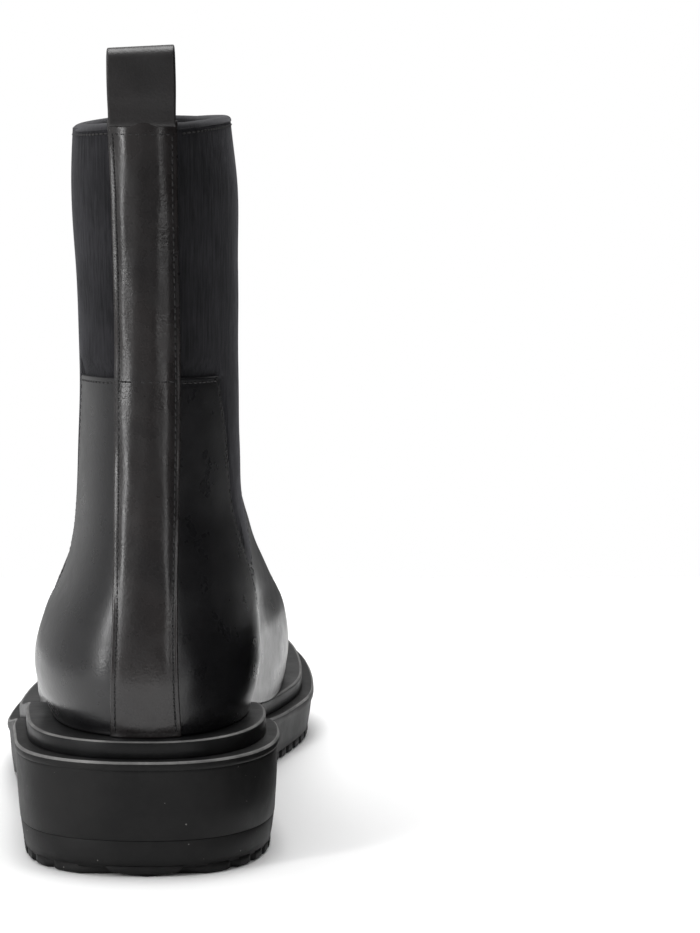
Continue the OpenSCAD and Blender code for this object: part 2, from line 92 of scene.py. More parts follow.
# Places along the foot, shares of the way to the toe and half widths, each after its height
BACK = [(24, 12), (46, 12), (66, 8.5), (94, 11), (121, 15), (167, 17), (252, 13)]
RIDGE = [(24.5, 0.994), (37.5, 1), (48.5, 0.981), (56.5, 0.929), (62.5, 0.853), (69, 0.75), (76, 0.628),
         (86, 0.5), (98, 0.378), (112, 0.269), (130, 0.167), (150, 0.096), (175, 0.051),
         (210, 0.022), (252, 0)]
HEEL_WIDTH = {
    INNER: [(24, 33), (46, 33.5), (57, 36.5), (68, 37.5), (82, 36), (95, 34), (108, 31.6), (121, 29.5),
            (140, 29), (167, 28.8), (200, 28.8), (229, 28.7), (252, 26.3)],
    OUTER: [(24, 35), (46, 37), (55, 41), (68, 42.3), (82, 38.7), (95, 32.4), (108, 29),
            (121, 27.8), (140, 27), (167, 26.5), (200, 27.3), (229, 28.5), (252, 27.4)],
}
BALL_WIDTH = {
    INNER: [(24.5, 39), (38.5, 41), (54.5, 39.5), (69.5, 35.3), (83.5, 33), (99.5, 30.6), (108.5, 28.9),
            (120.5, 27.6), (139.5, 28.5)],
    OUTER: [(24.5, 52), (38.5, 53.5), (54.5, 51.5), (69.5, 46), (83.5, 40), (99.5, 34), (120.5, 28),
            (139.5, 27)],
}
QUARTER_EDGE = {
    INNER: [(24, 120), (40, 112), (56, 95), (74, 78), (88, 66), (99, 58), (118, 50), (143, 46),
            (QUARTER_TOP, 38)],
    OUTER: [(24, 120), (40, 112), (56, 96), (74, 81), (88, 71), (99, 65), (118, 58.5), (143, 54),
            (QUARTER_TOP, 49)],
}
GUSSET_FRONT = [(84, 122), (120, 116), (160, 108), (200, 105), (252, 106)]
WING_BACK = (58.0, 99.0)
WING_TIP = (122.0, 84.0)
STRAP_WIDTH = [(46, 11.4), (65, 11.1), (90, 10.6), (170, 10.6), (225, 10.7), (252, 11.1)]
STRAP_PATH = [(46, -1.1), (66, -1.1), (100, -0.5), (178, 0.3), (225, -0.2), (252, -0.7)]
ROW_SHARE = [(20, 0), (40, 0.09), (50, 0.15), (57, 0.21), (62, 0.27), (68, 0.35), (76, 0.45),
             (86, 0.53), (98, 0.6), (112, 0.66), (130, 0.72), (160, 0.8), (210, 0.9), (260, 1)]


def mix(a, b, u):
    """Point between a and b."""
    return a + (b - a) * u


def ease(a, b, x):
    """Smooth step from 0 at a to 1 at b."""
    u = np.clip((np.asarray(x, float) - a) / (b - a), 0, 1)
    return u * u * (3 - 2 * u)


def rounded(u, n=SQUARE):
    """Falls from 1 at u = 0 to 0 at u = 1 like the side of a squarish round."""
    return np.maximum(0, 1 - np.clip(u, 0, 1) ** n) ** (1 / n)


def curve(keys, x):
    """Smooth curve through (place, value) keys, level beyond its ends."""
    k = np.array(keys, float)
    p, v = k[:, 0], k[:, 1]
    slopes = np.empty(len(k))
    slopes[1:-1] = (v[2:] - v[:-2]) / (p[2:] - p[:-2])
    slopes[0] = (v[1] - v[0]) / (p[1] - p[0])
    slopes[-1] = (v[-1] - v[-2]) / (p[-1] - p[-2])
    x = np.clip(np.asarray(x, float), p[0], p[-1])
    i = np.clip(np.searchsorted(p, x, side="right") - 1, 0, len(k) - 2)
    h = p[i + 1] - p[i]
    u = (x - p[i]) / h
    return ((2 * u**3 - 3 * u**2 + 1) * v[i] + (u**3 - 2 * u**2 + u) * h * slopes[i]
            + (3 * u**2 - 2 * u**3) * v[i + 1] + (u**3 - u**2) * h * slopes[i + 1])


def seat(y):
    """Height of the midsole's upper face, where the leather stands."""
    return mix(HEEL_HEIGHT, BALL_HEIGHT, ease(55, 205, y)) + TOE_SPRING * ease(SPRING_START, SOLE_LENGTH, y)


def underside(y):
    """Height of the outsole's underside ahead of the heel."""
    return 28 * (1 - ease(HEEL_LENGTH, 180, y)) + TOE_SPRING * ease(SPRING_START, SOLE_LENGTH, y)


def lean(y):
    """The forefoot's middle line swings inwards."""
    return 4 * ease(150, 300, y)


def sole_x(side, y, inset):
    """Half width of the sole's outline on one side, drawn in by inset."""
    if side == INNER:
        width = (HEEL_INNER - WAIST_INNER * ease(50, 130, y)
                 + (BALL_INNER + WAIST_INNER - HEEL_INNER) * ease(160, 248, y))
        widest, back = 240, 52
    else:
        width = (HEEL_OUTER + HEEL_WIDENING * ease(25, 80, y)
                 + (BALL_OUTER - HEEL_OUTER - HEEL_WIDENING) * ease(70, 205, y))
        widest, back = 205, 42
    return ((width - inset) * rounded(1 - (y - inset) / back)
            * rounded((y - widest) / (SOLE_LENGTH - inset - widest)))


def outline_span():
    """Lowest and highest x of the sole's outline."""
    y = mix(0, SOLE_LENGTH, (1 - np.cos(np.pi * np.arange(31) / 30)) / 2)
    return (-sole_x(OUTER, y, 0) + lean(y)).min(), (sole_x(INNER, y, 0) + lean(y)).max()


ORIGIN = np.array([sum(outline_span()) / 2, SOLE_LENGTH / 2, 0])


def to_frame(points):
    """Millimetres of the form to metres of the shared frame."""
    return (np.asarray(points, float) - ORIGIN) * MM


def back_y(z):
    """Place of the back seam along the foot."""
    return curve(BACK, z)


def front_y(z):
    """Place of the instep's and the shaft's front along the foot."""
    return mix(SHAFT_FRONT, TOE_TIP, curve(RIDGE, z))


def half_width(side, y, z):
    """Half width of the upper's skin on one side."""
    heel = curve(HEEL_WIDTH[side], z)
    ball = mix(curve(BALL_WIDTH[side], z), heel, ease(121, 140, z))
    if side == INNER:
        ahead = ease(75, mix(225, 135, ease(70, 108, z)), y)
        arch = WAIST_INNER * ease(50, 120, y) * (1 - ease(120, 215, y)) * (1 - ease(50, 110, z))
        widest = mix(225, 75, ease(50, 150, z))
    else:
        ahead = ease(75, 195, y)
        arch = 0
        widest = mix(195, 75, ease(50, 150, z))
    return ((mix(heel, ball, ahead) - arch) * rounded(1 - (y - back_y(z)) / BACK_ROUND)
            * rounded((y - widest) / (front_y(z) - widest), TOE_SQUARE))


def skin(turn, z):
    """Point of the upper's outer skin: turn 0 is the back seam, +1 the front by the inner side."""
    turn, z = np.broadcast_arrays(np.asarray(turn, float), np.asarray(z, float))
    t = np.where(turn > 1, turn - 2, np.where(turn < -1, turn + 2, turn))
    y = mix(back_y(z), front_y(z), (1 - np.cos(np.pi * np.abs(t))) / 2)
    x = np.where(t < 0, -half_width(OUTER, y, z), half_width(INNER, y, z))
    return np.stack([x + lean(y) * (1 - 0.5 * ease(60, 130, z)), y, z], -1)


def normal(turn, z):
    """Outward direction of the skin, from points a small step to each side."""
    turn_step, z_step = 0.006, 0.4
    across = skin(turn + turn_step, z) - skin(turn - turn_step, z)
    up = skin(turn, z + z_step) - skin(turn, z - z_step)
    n = np.cross(across, up)
    return n / np.linalg.norm(n, axis=-1, keepdims=True)


def shell(turn, z, depth):
    """Point at a depth from the skin, positive outwards."""
    return skin(turn, z) + np.asarray(depth)[..., None] * normal(turn, z)


def turn_at(y, z):
    """Turn at which the level outline at z reaches a place along the foot."""
    share = np.clip((y - back_y(z)) / (front_y(z) - back_y(z)), 0, 1)
    return np.arccos(1 - 2 * share) / np.pi


def turn_across(x, z):
    """Turn at which the back of the outline is x from the back seam, signed by side."""
    x = np.asarray(x, float)
    z = np.asarray(z, float)
    y0 = back_y(z) + BACK_ROUND
    w = np.where(x < 0, half_width(OUTER, y0, z), half_width(INNER, y0, z))
    y = back_y(z) + BACK_ROUND * (1 - rounded(np.abs(x) / w))
    return np.sign(x) * turn_at(y, z)


def settle(turn_of, depth, target, z):
    """Height on each line turn_of(z) at which the shell's point reaches the target height."""
    for _ in range(10):
        p = shell(turn_of(z), z, np.full(z.shape, float(depth)))
        z = z + target(p) - p[..., 2]
    return z


def row_z(z0, z1, v):
    """Height of a row at share v from z0 to z1. Rows crowd where the form turns most."""
    heights, shares = np.array(ROW_SHARE, float).T
    q0 = np.interp(z0, heights, shares)
    q1 = np.interp(z1, heights, shares)
    miss0 = z0 - np.interp(q0, shares, heights)
    miss1 = z1 - np.interp(q1, shares, heights)
    return np.interp(mix(q0, q1, v), shares, heights) + mix(miss0, miss1, v)


def on_seat(p):
    """Height of the leather's lower edge, just clear of the midsole."""
    return seat(p[..., 1]) + 0.1


def rim_rise(x):
    """The topline is level across the strap and rises beyond it towards the inner side."""
    return RIM_TILT * (np.maximum(0, x - RIM_LEVEL) + np.minimum(0, x + RIM_LEVEL))


def under_rim(drop):
    """Target height for a sheet that ends a little below the topline."""
    return lambda p: TOPLINE - drop + rim_rise(p[..., 0])


def quarter_top(y):
    """Height of the quarter's upper edge, which slopes down from the strap."""
    return QUARTER_TOP - 0.055 * np.maximum(0, y - 17)


def quarter_front(side, z):
    """Place of the quarter's front edge along the foot."""
    return curve(QUARTER_EDGE[side], z)


def gusset_front(z):
    """Place of the edge between the elastic and the front leather."""
    return curve(GUSSET_FRONT, z)


def wing_edge(y):
    """Height of the vamp's wing under the elastic."""
    share = np.clip((y - WING_BACK[0]) / (WING_TIP[0] - WING_BACK[0]), 0, 1)
    return mix(WING_BACK[1], WING_TIP[1], share)


def wing_start(side):
    """Place along the foot where the quarter's edge meets the wing."""
    return WING_BACK[0] + (6 if side == OUTER else 0)


def gusset_low(side, y):
    """Height of the elastic's lower edge: down the quarter, then along the wing."""
    z, place = np.array(QUARTER_EDGE[side], float).T
    return np.where(y < wing_start(side), np.interp(y, place[::-1], z[::-1]), wing_edge(y))


def strap_half(z):
    return curve(STRAP_WIDTH, z)


def strap_middle(z):
    return curve(STRAP_PATH, z)


def turn_by_x(x, z):
    """turn_across, kept off the back seam itself, where the side has no sign."""
    tiny = 1e-6
    return turn_across(np.where(np.abs(x) < tiny, tiny, x), z)


# --- Materials ---
def node_set(name):
    """New material: itself, its tree, its shader and the object's own coordinates."""
    m = bpy.data.materials.new(name)
    m.use_nodes = True
    tree = m.node_tree
    tree.nodes.clear()
    out = tree.nodes.new("ShaderNodeOutputMaterial")
    shader = tree.nodes.new("ShaderNodeBsdfPrincipled")
    tree.links.new(shader.outputs[0], out.inputs[0])
    where = tree.nodes.new("ShaderNodeTexCoord").outputs["Object"]
    return m, tree, shader, where


def add(tree, kind, links=(), **values):
    """New node with its properties or socket values, linked from (socket, source) pairs."""
    node = tree.nodes.new(kind)
    for key, value in values.items():
        if hasattr(node, key):
            setattr(node, key, value)
        else:
            node.inputs[key.replace("_", " ")].default_value = value
    for socket, source in links:
        tree.links.new(source, node.inputs[socket])
    return node


def scaled(tree, where, factors):
    """Coordinates stretched per axis."""
    return add(tree, "ShaderNodeMapping", [("Vector", where)], Scale=factors).outputs[0]


def noise(tree, where, scale, detail=3.0, roughness=0.55):
    return add(tree, "ShaderNodeTexNoise", [("Vector", where)], Scale=scale, Detail=detail,
               Roughness=roughness).outputs["Fac"]


def cells(tree, where, scale, feature="F1"):
    """Distance to the nearest of scattered points."""
    return add(tree, "ShaderNodeTexVoronoi", [("Vector", where)], feature=feature,
               Scale=scale).outputs["Distance"]


def spread(tree, source, low, high, a, b):
    """Maps a value from low..high to a..b, cut off outside."""
    node = tree.nodes.new("ShaderNodeMapRange")
    tree.links.new(source, node.inputs["Value"])
    for key, value in (("From Min", low), ("From Max", high), ("To Min", a), ("To Max", b)):
        node.inputs[key].default_value = value
    return node.outputs["Result"]


def blend_colour(tree, fac, a, b):
    """Colour between a and b, each a colour or a socket."""
    node = tree.nodes.new("ShaderNodeMix")
    node.data_type = "RGBA"
    tree.links.new(fac, node.inputs["Factor"])
    for key, value in (("A", a), ("B", b)):
        socket = [s for s in node.inputs if s.name == key and s.type == "RGBA"][0]
        if isinstance(value, tuple):
            socket.default_value = (*value, 1)
        else:
            tree.links.new(value, socket)
    return [s for s in node.outputs if s.type == "RGBA"][0]


def bump(tree, height, strength, distance, below=None):
    """Relief of a height, over the relief below."""
    links = [("Height", height)] + ([("Normal", below)] if below else [])
    return add(tree, "ShaderNodeBump", links, Strength=strength, Distance=distance).outputs[0]


def leather(name, dark, light, rough, coat, grain=1.0):
    """Smooth calf: fine pores, faint creases and a polish that varies."""
    m, tree, shader, where = node_set(name)
    cloud = noise(tree, where, 38, 4)
    tint = blend_colour(tree, spread(tree, cloud, 0.35, 0.7, 0, 1), dark, light)
    tree.links.new(tint, shader.inputs["Base Color"])
    smear = noise(tree, where, 120, 3)
    tree.links.new(spread(tree, smear, 0.3, 0.7, rough - 0.05, rough + 0.07), shader.inputs["Roughness"])
    shader.inputs["Specular IOR Level"].default_value = 0.5
    shader.inputs["Coat Weight"].default_value = coat
    shader.inputs["Coat Roughness"].default_value = 0.28
    waves = noise(tree, where, 30, 2)
    creases = noise(tree, scaled(tree, where, (90, 90, 420)), 1, 3)
    pores = cells(tree, where, 1500, "SMOOTH_F1")
    pits = cells(tree, where, 700)
    first = bump(tree, waves, 0.25, 0.0012)
    second = bump(tree, creases, 0.12 * grain, 0.0004, first)
    third = bump(tree, pores, 0.3 * grain, 0.00012, second)
    fourth = bump(tree, pits, 0.16 * grain, 0.00012, third)
    tree.links.new(fourth, shader.inputs["Normal"])
    return m


def cut_edge(name, colour):
    """Raw edge of leather: paler fibres, laid in short strands."""
    m, tree, shader, where = node_set(name)
    strands = noise(tree, scaled(tree, where, (900, 900, 300)), 1, 3)
    paler = tuple(min(1, 1.7 * c) for c in colour)
    tree.links.new(blend_colour(tree, strands, colour, paler), shader.inputs["Base Color"])
    shader.inputs["Roughness"].default_value = 0.62
    tree.links.new(bump(tree, strands, 0.4, 0.0002), shader.inputs["Normal"])
    return m


def fabric(name, dark, light, sheen):
    """Elastic webbing: uneven yarns and lint that runs along the modelled ribs."""
    m, tree, shader, where = node_set(name)
    yarn = add(tree, "ShaderNodeTexWave", [("Vector", scaled(tree, where, (0, 0, 1)))],
               Scale=700.0, Distortion=1.6, Detail=2.0).outputs["Fac"]
    lint = noise(tree, scaled(tree, where, (1500, 1500, 60)), 1, 3)
    cloud = noise(tree, where, 45, 3)
    mixed = add(tree, "ShaderNodeMath", [(0, lint), (1, cloud)], operation="MULTIPLY").outputs[0]
    colour = blend_colour(tree, spread(tree, mixed, 0.16, 0.36, 0, 1), dark, light)
    tree.links.new(colour, shader.inputs["Base Color"])
    shader.inputs["Roughness"].default_value = 0.82
    shader.inputs["Specular IOR Level"].default_value = 0.3
    shader.inputs["Sheen Weight"].default_value = sheen
    shader.inputs["Sheen Roughness"].default_value = 0.45
    shader.inputs["Sheen Tint"].default_value = (0.75, 0.75, 0.8, 1)
    first = bump(tree, yarn, 0.3, 0.00012)
    tree.links.new(bump(tree, lint, 0.5, 0.0002, first), shader.inputs["Normal"])
    return m


def rubber(name, dark, light, rough, dust):
    """Moulded rubber: matt skin with scuffs, and specks of dust."""
    m, tree, shader, where = node_set(name)
    cloud = noise(tree, where, 55, 5, 0.65)
    body = blend_colour(tree, spread(tree, cloud, 0.35, 0.7, 0, 1), dark, light)
    near = cells(tree, where, 240)
    some = noise(tree, where, 90, 2)
    limit = spread(tree, some, 0.45, 0.75, 0.0, 0.085)
    speck = add(tree, "ShaderNodeMath", [(0, near), (1, limit)], operation="LESS_THAN").outputs[0]
    fine = add(tree, "ShaderNodeMath", [(0, speck)], operation="MULTIPLY")
    fine.inputs[1].default_value = dust
    colour = blend_colour(tree, fine.outputs[0], body, (0.24, 0.23, 0.22))
    tree.links.new(colour, shader.inputs["Base Color"])
    tree.links.new(spread(tree, cloud, 0.3, 0.7, rough - 0.06, rough + 0.1), shader.inputs["Roughness"])
    shader.inputs["Specular IOR Level"].default_value = 0.2
    grit = noise(tree, where, 900, 3)
    first = bump(tree, noise(tree, where, 70, 3), 0.2, 0.0008)
    tree.links.new(bump(tree, grit, 0.25, 0.00012, first), shader.inputs["Normal"])
    return m


def thread(name, colour):
    """Twisted thread: diagonal strands."""
    m, tree, shader, where = node_set(name)
    twist = add(tree, "ShaderNodeTexWave", [("Vector", where)], Scale=2200.0,
                Distortion=0.8).outputs["Fac"]
    paler = tuple(min(1, 1.8 * c) for c in colour)
    tree.links.new(blend_colour(tree, twist, colour, paler), shader.inputs["Base Color"])
    shader.inputs["Roughness"].default_value = 0.55
    tree.links.new(bump(tree, twist, 0.5, 0.0001), shader.inputs["Normal"])
    return m


def plain(name, colour, rough, metal=0.0, scale=300):
    """Hidden parts: a mottled colour and a slight roughness."""
    m, tree, shader, where = node_set(name)
    mottle = noise(tree, where, scale, 4)
    paler = tuple(min(1, 1.35 * c) for c in colour)
    tree.links.new(blend_colour(tree, mottle, colour, paler), shader.inputs["Base Color"])
    shader.inputs["Roughness"].default_value = rough
    shader.inputs["Metallic"].default_value = metal
    tree.links.new(bump(tree, mottle, 0.3, 0.0002), shader.inputs["Normal"])
    return m


VAMP_LEATHER = leather("vamp_leather", (0.006, 0.0058, 0.0068), (0.011, 0.0106, 0.0118), 0.32, 0.25)
QUARTER_LEATHER = leather("quarter_leather", (0.0044, 0.0043, 0.0051), (0.0085, 0.0083, 0.0094), 0.3, 0.28,
                          0.8)
STRAP_LEATHER = leather("strap_leather", (0.008, 0.0068, 0.0072), (0.0155, 0.0125, 0.0122), 0.27, 0.25, 1.0)
LOOP_LEATHER = leather("loop_leather", (0.0085, 0.0075, 0.0078), (0.015, 0.0128, 0.013), 0.46, 0.03, 1.2)
LINING_LEATHER = leather("lining_leather", (0.02, 0.02, 0.0215), (0.034, 0.034, 0.036), 0.6, 0.0)
CUT_EDGE = cut_edge("cut_edge", (0.036, 0.035, 0.036))
ELASTIC = fabric("elastic", (0.0075, 0.0075, 0.0092), (0.027, 0.0265, 0.0305), 0.16)
TAPE = fabric("tape", (0.012, 0.012, 0.0135), (0.03, 0.03, 0.033), 0.15)
SOLE_RUBBER = rubber("sole_rubber", (0.004, 0.004, 0.0042), (0.011, 0.0107, 0.0107), 0.52, 0.6)
MIDSOLE_RUBBER = rubber("midsole_rubber", (0.006, 0.006, 0.0063), (0.012, 0.012, 0.0125), 0.42, 0.3)
# Pale grey rubber for the sole's lip edges: a painted highlight.
LIP_HIGHLIGHT = rubber("painted_lip_highlight", (0.08, 0.079, 0.078), (0.22, 0.217, 0.213), 0.5, 0.4)
THREAD = thread("black_thread", (0.009, 0.0085, 0.009))
# Near-black plugs at the needle holes: painted shade of the holes.
HOLE_SHADE = plain("needle_hole_shade", (0.002, 0.002, 0.002), 0.9)


# --- Meshes ---
def mesh_object(name, points, faces, materials, indices=None, flat=False):
    """Object from points in millimetres of the form."""
    mesh = bpy.data.meshes.new(name)
    mesh.from_pydata([tuple(p) for p in to_frame(points)], [], [tuple(int(i) for i in f) for f in faces])
    for m in materials:
        mesh.materials.append(m)
    if indices is not None:
        mesh.polygons.foreach_set("material_index", np.asarray(indices, np.int32))
    mesh.polygons.foreach_set("use_smooth", np.full(len(mesh.polygons), not flat))
    mesh.validate()
    mesh.update()
    obj = bpy.data.objects.new(name, mesh)
    bpy.context.scene.collection.objects.link(obj)
    return obj


def crowded(n, length, near=(0.12, 0.3, 0.55, 0.9, 1.5)):
    """n even steps with extra ones close to both ends, given as distances in millimetres."""
    ends = np.array([d / length for d in near])
    middle = np.linspace(ends[-1], 1 - ends[-1], n + 1)
    return np.concatenate([[0], ends[:-1], middle, 1 - ends[:-1][::-1], [1]])


class Patch:
    """Grid on the skin: its turns and heights, and faces that join neighbours."""

    def __init__(self, turn_of, low, high, us, vs, depth=0.0):
        line = lambda z: turn_of(us, z)
        z0 = settle(line, depth, low, np.full(len(us), 50.0))
        z1 = settle(line, depth, high, np.full(len(us), 100.0))
        z = row_z(z0[:, None], z1[:, None], vs[None, :])
        self.z = z
        self.turn = turn_of(us[:, None], z)
        self.u = np.broadcast_to(us[:, None], z.shape)
        n, m = z.shape
        i, j = np.meshgrid(np.arange(n - 1), np.arange(m - 1), indexing="ij")
        a = (i * m + j).ravel()
        self.faces = np.stack([a, a + m, a + m + 1, a + 1], 1)


def joined(patches):
    """One set of points from several patches, with shared points welded."""
    turn = np.concatenate([p.turn.ravel() for p in patches])
    z = np.concatenate([p.z.ravel() for p in patches])
    u = np.concatenate([p.u.ravel() for p in patches])
    starts = np.cumsum([0] + [p.turn.size for p in patches[:-1]])
    faces = np.concatenate([p.faces + s for p, s in zip(patches, starts)])
    base = skin(turn, z)
    _, first, back = np.unique(np.round(base, 3), axis=0, return_index=True, return_inverse=True)
    back = back.ravel()
    faces = back[faces]
    faces = np.array([f for f in faces if len(set(f)) == 4])
    return turn[first], z[first], u[first], base[first], faces


def boundary(faces):
    """Directed edges that only one face uses."""
    count = {}
    for f in faces:
        for a, b in zip(f, np.roll(f, -1)):
            count[(int(a), int(b))] = True
    return [(a, b) for a, b in count if (b, a) not in count]


def distance_to(points, targets):
    """Distance from each point to the nearest target."""
    tree = kdtree.KDTree(len(targets))
    for i, p in enumerate(targets):
        tree.insert(p, i)
    tree.balance()
    return np.array([tree.find(p)[2] for p in points])


def edge_drop(distance, radius):
    """How far a rounded edge falls away this close to it."""
    x = np.clip(1 - distance / radius, 0, 1)
    return radius * (1 - np.sqrt(np.maximum(0, 1 - x * x)))


def thick_sheet(name, patches, outside, inside, materials, round_edge=0.6):
    """Closed sheet on the skin. outside(turn, z, edge distance, u) gives its outer depth."""
    turn, z, u, base, faces = joined(patches)
    rim = boundary(faces)
    rim_points = base[sorted({a for a, b in rim})]
    edge = distance_to(base, rim_points)
    n = normal(turn, z)
    outer = base + (outside(turn, z, edge, u) - edge_drop(edge, round_edge))[:, None] * n
    inner = base + inside * n
    count = len(base)
    all_faces = ([tuple(f) for f in faces] + [tuple(f[::-1] + count) for f in faces]
                 + [(b, a, a + count, b + count) for a, b in rim])
    indices = [0] * (2 * len(faces)) + [1] * len(rim)
    return mesh_object(name, np.concatenate([outer, inner]), all_faces, materials, indices)


def line_points(turns, heights, depth):
    """Points and normals along a line on the skin, at one depth or one per point."""
    return shell(turns, heights, np.zeros(np.shape(turns)) + depth), normal(turns, heights)


def resample(points, normals, pitch):
    """Even places along a line: points, directions, normals and the true pitch."""
    gap = np.linalg.norm(np.diff(points, axis=0), axis=1)
    along = np.concatenate([[0], np.cumsum(gap)])
    count = max(2, int(round(along[-1] / pitch)))
    places = (np.arange(count) + 0.5) * along[-1] / count
    step = 0.3
    def at(values, s):
        return np.stack([np.interp(s, along, values[:, k]) for k in range(3)], 1)
    tangent = at(points, places + step) - at(points, places - step)
    tangent /= np.linalg.norm(tangent, axis=1, keepdims=True)
    n = at(normals, places)
    n /= np.linalg.norm(n, axis=1, keepdims=True)
    return at(points, places), tangent, n, along[-1] / count


STITCH_PITCH = 2.5
STITCH_SIDES = 6
STITCH_RINGS = np.array([-1, -0.93, -0.7, -0.3, 0.3, 0.7, 0.93, 1])
STITCH_HALF = 0.37
THREAD_W = 0.31
THREAD_H = 0.24
THREAD_ARCH = 0.16
THREAD_SINK = 0.07
HOLE_SIDES = 8
HOLE_LENGTH = 0.42
HOLE_WIDTH = 0.36
SEAM_INSET = 1.7


def stitch_rows(name, rows):
    """Lock stitches along each row, and dark plugs between them that paint the shade of the needle holes."""
    points, faces = [], []
    hole_points, hole_faces = [], []
    for row_points, row_normals in rows:
        place, tangent, n, pitch = resample(row_points, row_normals, STITCH_PITCH)
        side = np.cross(n, tangent)
        half = STITCH_HALF * pitch
        for c, t, up, s in zip(place, tangent, n, side):
            start = len(points)
            for r in STITCH_RINGS:
                thick = math.sqrt(max(0.02, 1 - abs(r) ** 2.5))
                centre = c + t * half * r + up * (THREAD_ARCH * (1 - r * r) - THREAD_SINK)
                for k in range(STITCH_SIDES):
                    w = 2 * math.pi * k / STITCH_SIDES
                    points.append(centre + s * THREAD_W * thick * math.cos(w)
                                  + up * THREAD_H * thick * math.sin(w))
            for j in range(len(STITCH_RINGS) - 1):
                for k in range(STITCH_SIDES):
                    a = start + j * STITCH_SIDES + k
                    b = start + j * STITCH_SIDES + (k + 1) % STITCH_SIDES
                    faces.append((a, b, b + STITCH_SIDES, a + STITCH_SIDES))
            last = start + (len(STITCH_RINGS) - 1) * STITCH_SIDES
            faces.append(tuple(start + k for k in range(STITCH_SIDES))[::-1])
            faces.append(tuple(last + k for k in range(STITCH_SIDES)))
            # A dark plug at each needle hole: painted shade.
            start = len(hole_points)
            middle = c + t * pitch / 2
            for height in (0.035, -0.2):
                for k in range(HOLE_SIDES):
                    w = 2 * math.pi * k / HOLE_SIDES
                    hole_points.append(middle + t * HOLE_LENGTH * math.cos(w)
                                       + s * HOLE_WIDTH * math.sin(w) + up * height)
            hole_faces.append(tuple(start + k for k in range(HOLE_SIDES)))
            hole_faces.append(tuple(start + HOLE_SIDES + k for k in range(HOLE_SIDES))[::-1])
            for k in range(HOLE_SIDES):
                a, b = start + k, start + (k + 1) % HOLE_SIDES
                hole_faces.append((b, a, a + HOLE_SIDES, b + HOLE_SIDES))
    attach(mesh_object(name, points, faces, [THREAD]), "boot")
    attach(mesh_object(name + "_hole_shade", hole_points, hole_faces, [HOLE_SHADE], flat=True), "boot")


def own(obj, slot, *nodes):
    """The piece belongs to the boot's body and stands for the named nodes. The slot argument is not used."""
    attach(obj, "boot")
    if nodes:
        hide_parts(*nodes)


# --- Upper ---
def undulate(turn, z, size):
    """Slow waves of leather that is pulled over a last by hand."""
    return size * (np.sin(9.0 * turn + 0.11 * z) * np.sin(0.07 * z + 2.0 * turn + 1.0)
                   + 0.6 * np.sin(17.0 * turn - 0.05 * z + 2.0))


def seam_sink(edge, at, size=0.16, width=0.9):
    """Leather pulled down along a row of stitches."""
    return -size * np.exp(-((edge - at) / width) ** 2)


def leather_outside(turn, z, edge, u):
    """Waves away from the edges, a sunk seam, and a low swelling inside it."""
    swelling = 0.12 * np.exp(-((edge - 4.2) / 2.2) ** 2)
    return undulate(turn, z, 0.10) * ease(2, 14, edge) + seam_sink(edge, SEAM_INSET) + swelling


def build_quarter(side):
    """Quarter leather from just beside the back seam to its front edge."""
    us = crowded(60, 70)
    vs = crowded(70, 110)
    def turn_of(u, z):
        share = u if side == INNER else 1 - u
        return side * mix(0.004, turn_at(quarter_front(side, z), z), share)
    patch = Patch(turn_of, on_seat, lambda p: quarter_top(p[..., 1]), us, vs)
    name = "inner_quarter_leather" if side == INNER else "outer_quarter_leather"
    obj = thick_sheet(name, [patch], leather_outside, -LEATHER_T, [QUARTER_LEATHER, CUT_EDGE])
    own(obj, "quarter_leather", "quarter_medial" if side == INNER else "quarter_lateral")


def build_vamp():
    """Foot and front of the shaft in one piece, joined at the height of the wing's tip."""
    tip_z = WING_TIP[1]
    front_us = crowded(90, 110)
    wing_us = crowded(34, 60)
    def rear(side, z):
        return turn_at(quarter_front(side, z) + 0.1, z)
    def foot_turn(u, z):
        return mix(rear(INNER, z), 2 - rear(OUTER, z), u)
    tip_turn = float(turn_at(WING_TIP[0], tip_z))
    first, last = float(foot_turn(0, tip_z)), float(foot_turn(1, tip_z))
    inner_share = (tip_turn - first) / (last - first)
    outer_share = (2 - tip_turn - first) / (last - first)
    foot_us = np.concatenate([wing_us * inner_share, mix(inner_share, outer_share, front_us)[1:-1],
                              1 - (wing_us * (1 - outer_share))[::-1]])
    foot = Patch(foot_turn, on_seat, lambda p: wing_edge(p[..., 1]), foot_us, crowded(70, 90))
    front = Patch(lambda u, z: mix(turn_at(gusset_front(z), z), 2 - turn_at(gusset_front(z), z), u),
                  lambda p: tip_z, under_rim(0.8), front_us, crowded(90, 190))
    obj = thick_sheet("vamp_and_front_leather", [foot, front], leather_outside, -LEATHER_T,
                      [VAMP_LEATHER, CUT_EDGE])
    own(obj, "upper_leather", "vamp", "shaft_front")


def elastic_depth(side, turn, z):
    """The elastic bulges out between the leather edges that hold it."""
    y = skin(turn, z)[..., 1]
    slant = np.where(y < wing_start(side), np.where(z > QUARTER_TOP - 2, 1.0, 0.42), 0.97)
    free = np.minimum((z - np.minimum(gusset_low(side, y), quarter_top(y))) * slant, gusset_front(z) - y)
    return -1.6 + 1.5 * ease(-0.5, 7.5, free)


def build_gusset(side):
    """Ribbed elastic, tucked in under the strap, the quarter and the front leather."""
    ribs = 165
    steps_per_rib = 4
    rib_height = 0.28
    tuck = 5.0
    us = np.linspace(0, 1, ribs * steps_per_rib + 1)
    vs = crowded(70, 120)
    def turn_of(u, z):
        share = u if side == INNER else 1 - u
        return side * mix(turn_across(STRAP_HALF - tuck, z), turn_at(gusset_front(z) + tuck, z), share)
    patch = Patch(turn_of, lambda p: gusset_low(side, p[..., 1]) - tuck, under_rim(1.0), us, vs)
    def outside(turn, z, edge, u):
        rib = 0.5 - 0.5 * np.cos(2 * np.pi * ribs * u)
        return elastic_depth(side, turn, z) + rib_height * rib - 0.2 + undulate(turn, z, 0.12)
    name = "inner_elastic" if side == INNER else "outer_elastic"
    obj = thick_sheet(name, [patch], outside, -2.8, [ELASTIC, ELASTIC], 0.3)
    own(obj, "elastic", "gusset_medial" if side == INNER else "gusset_lateral")


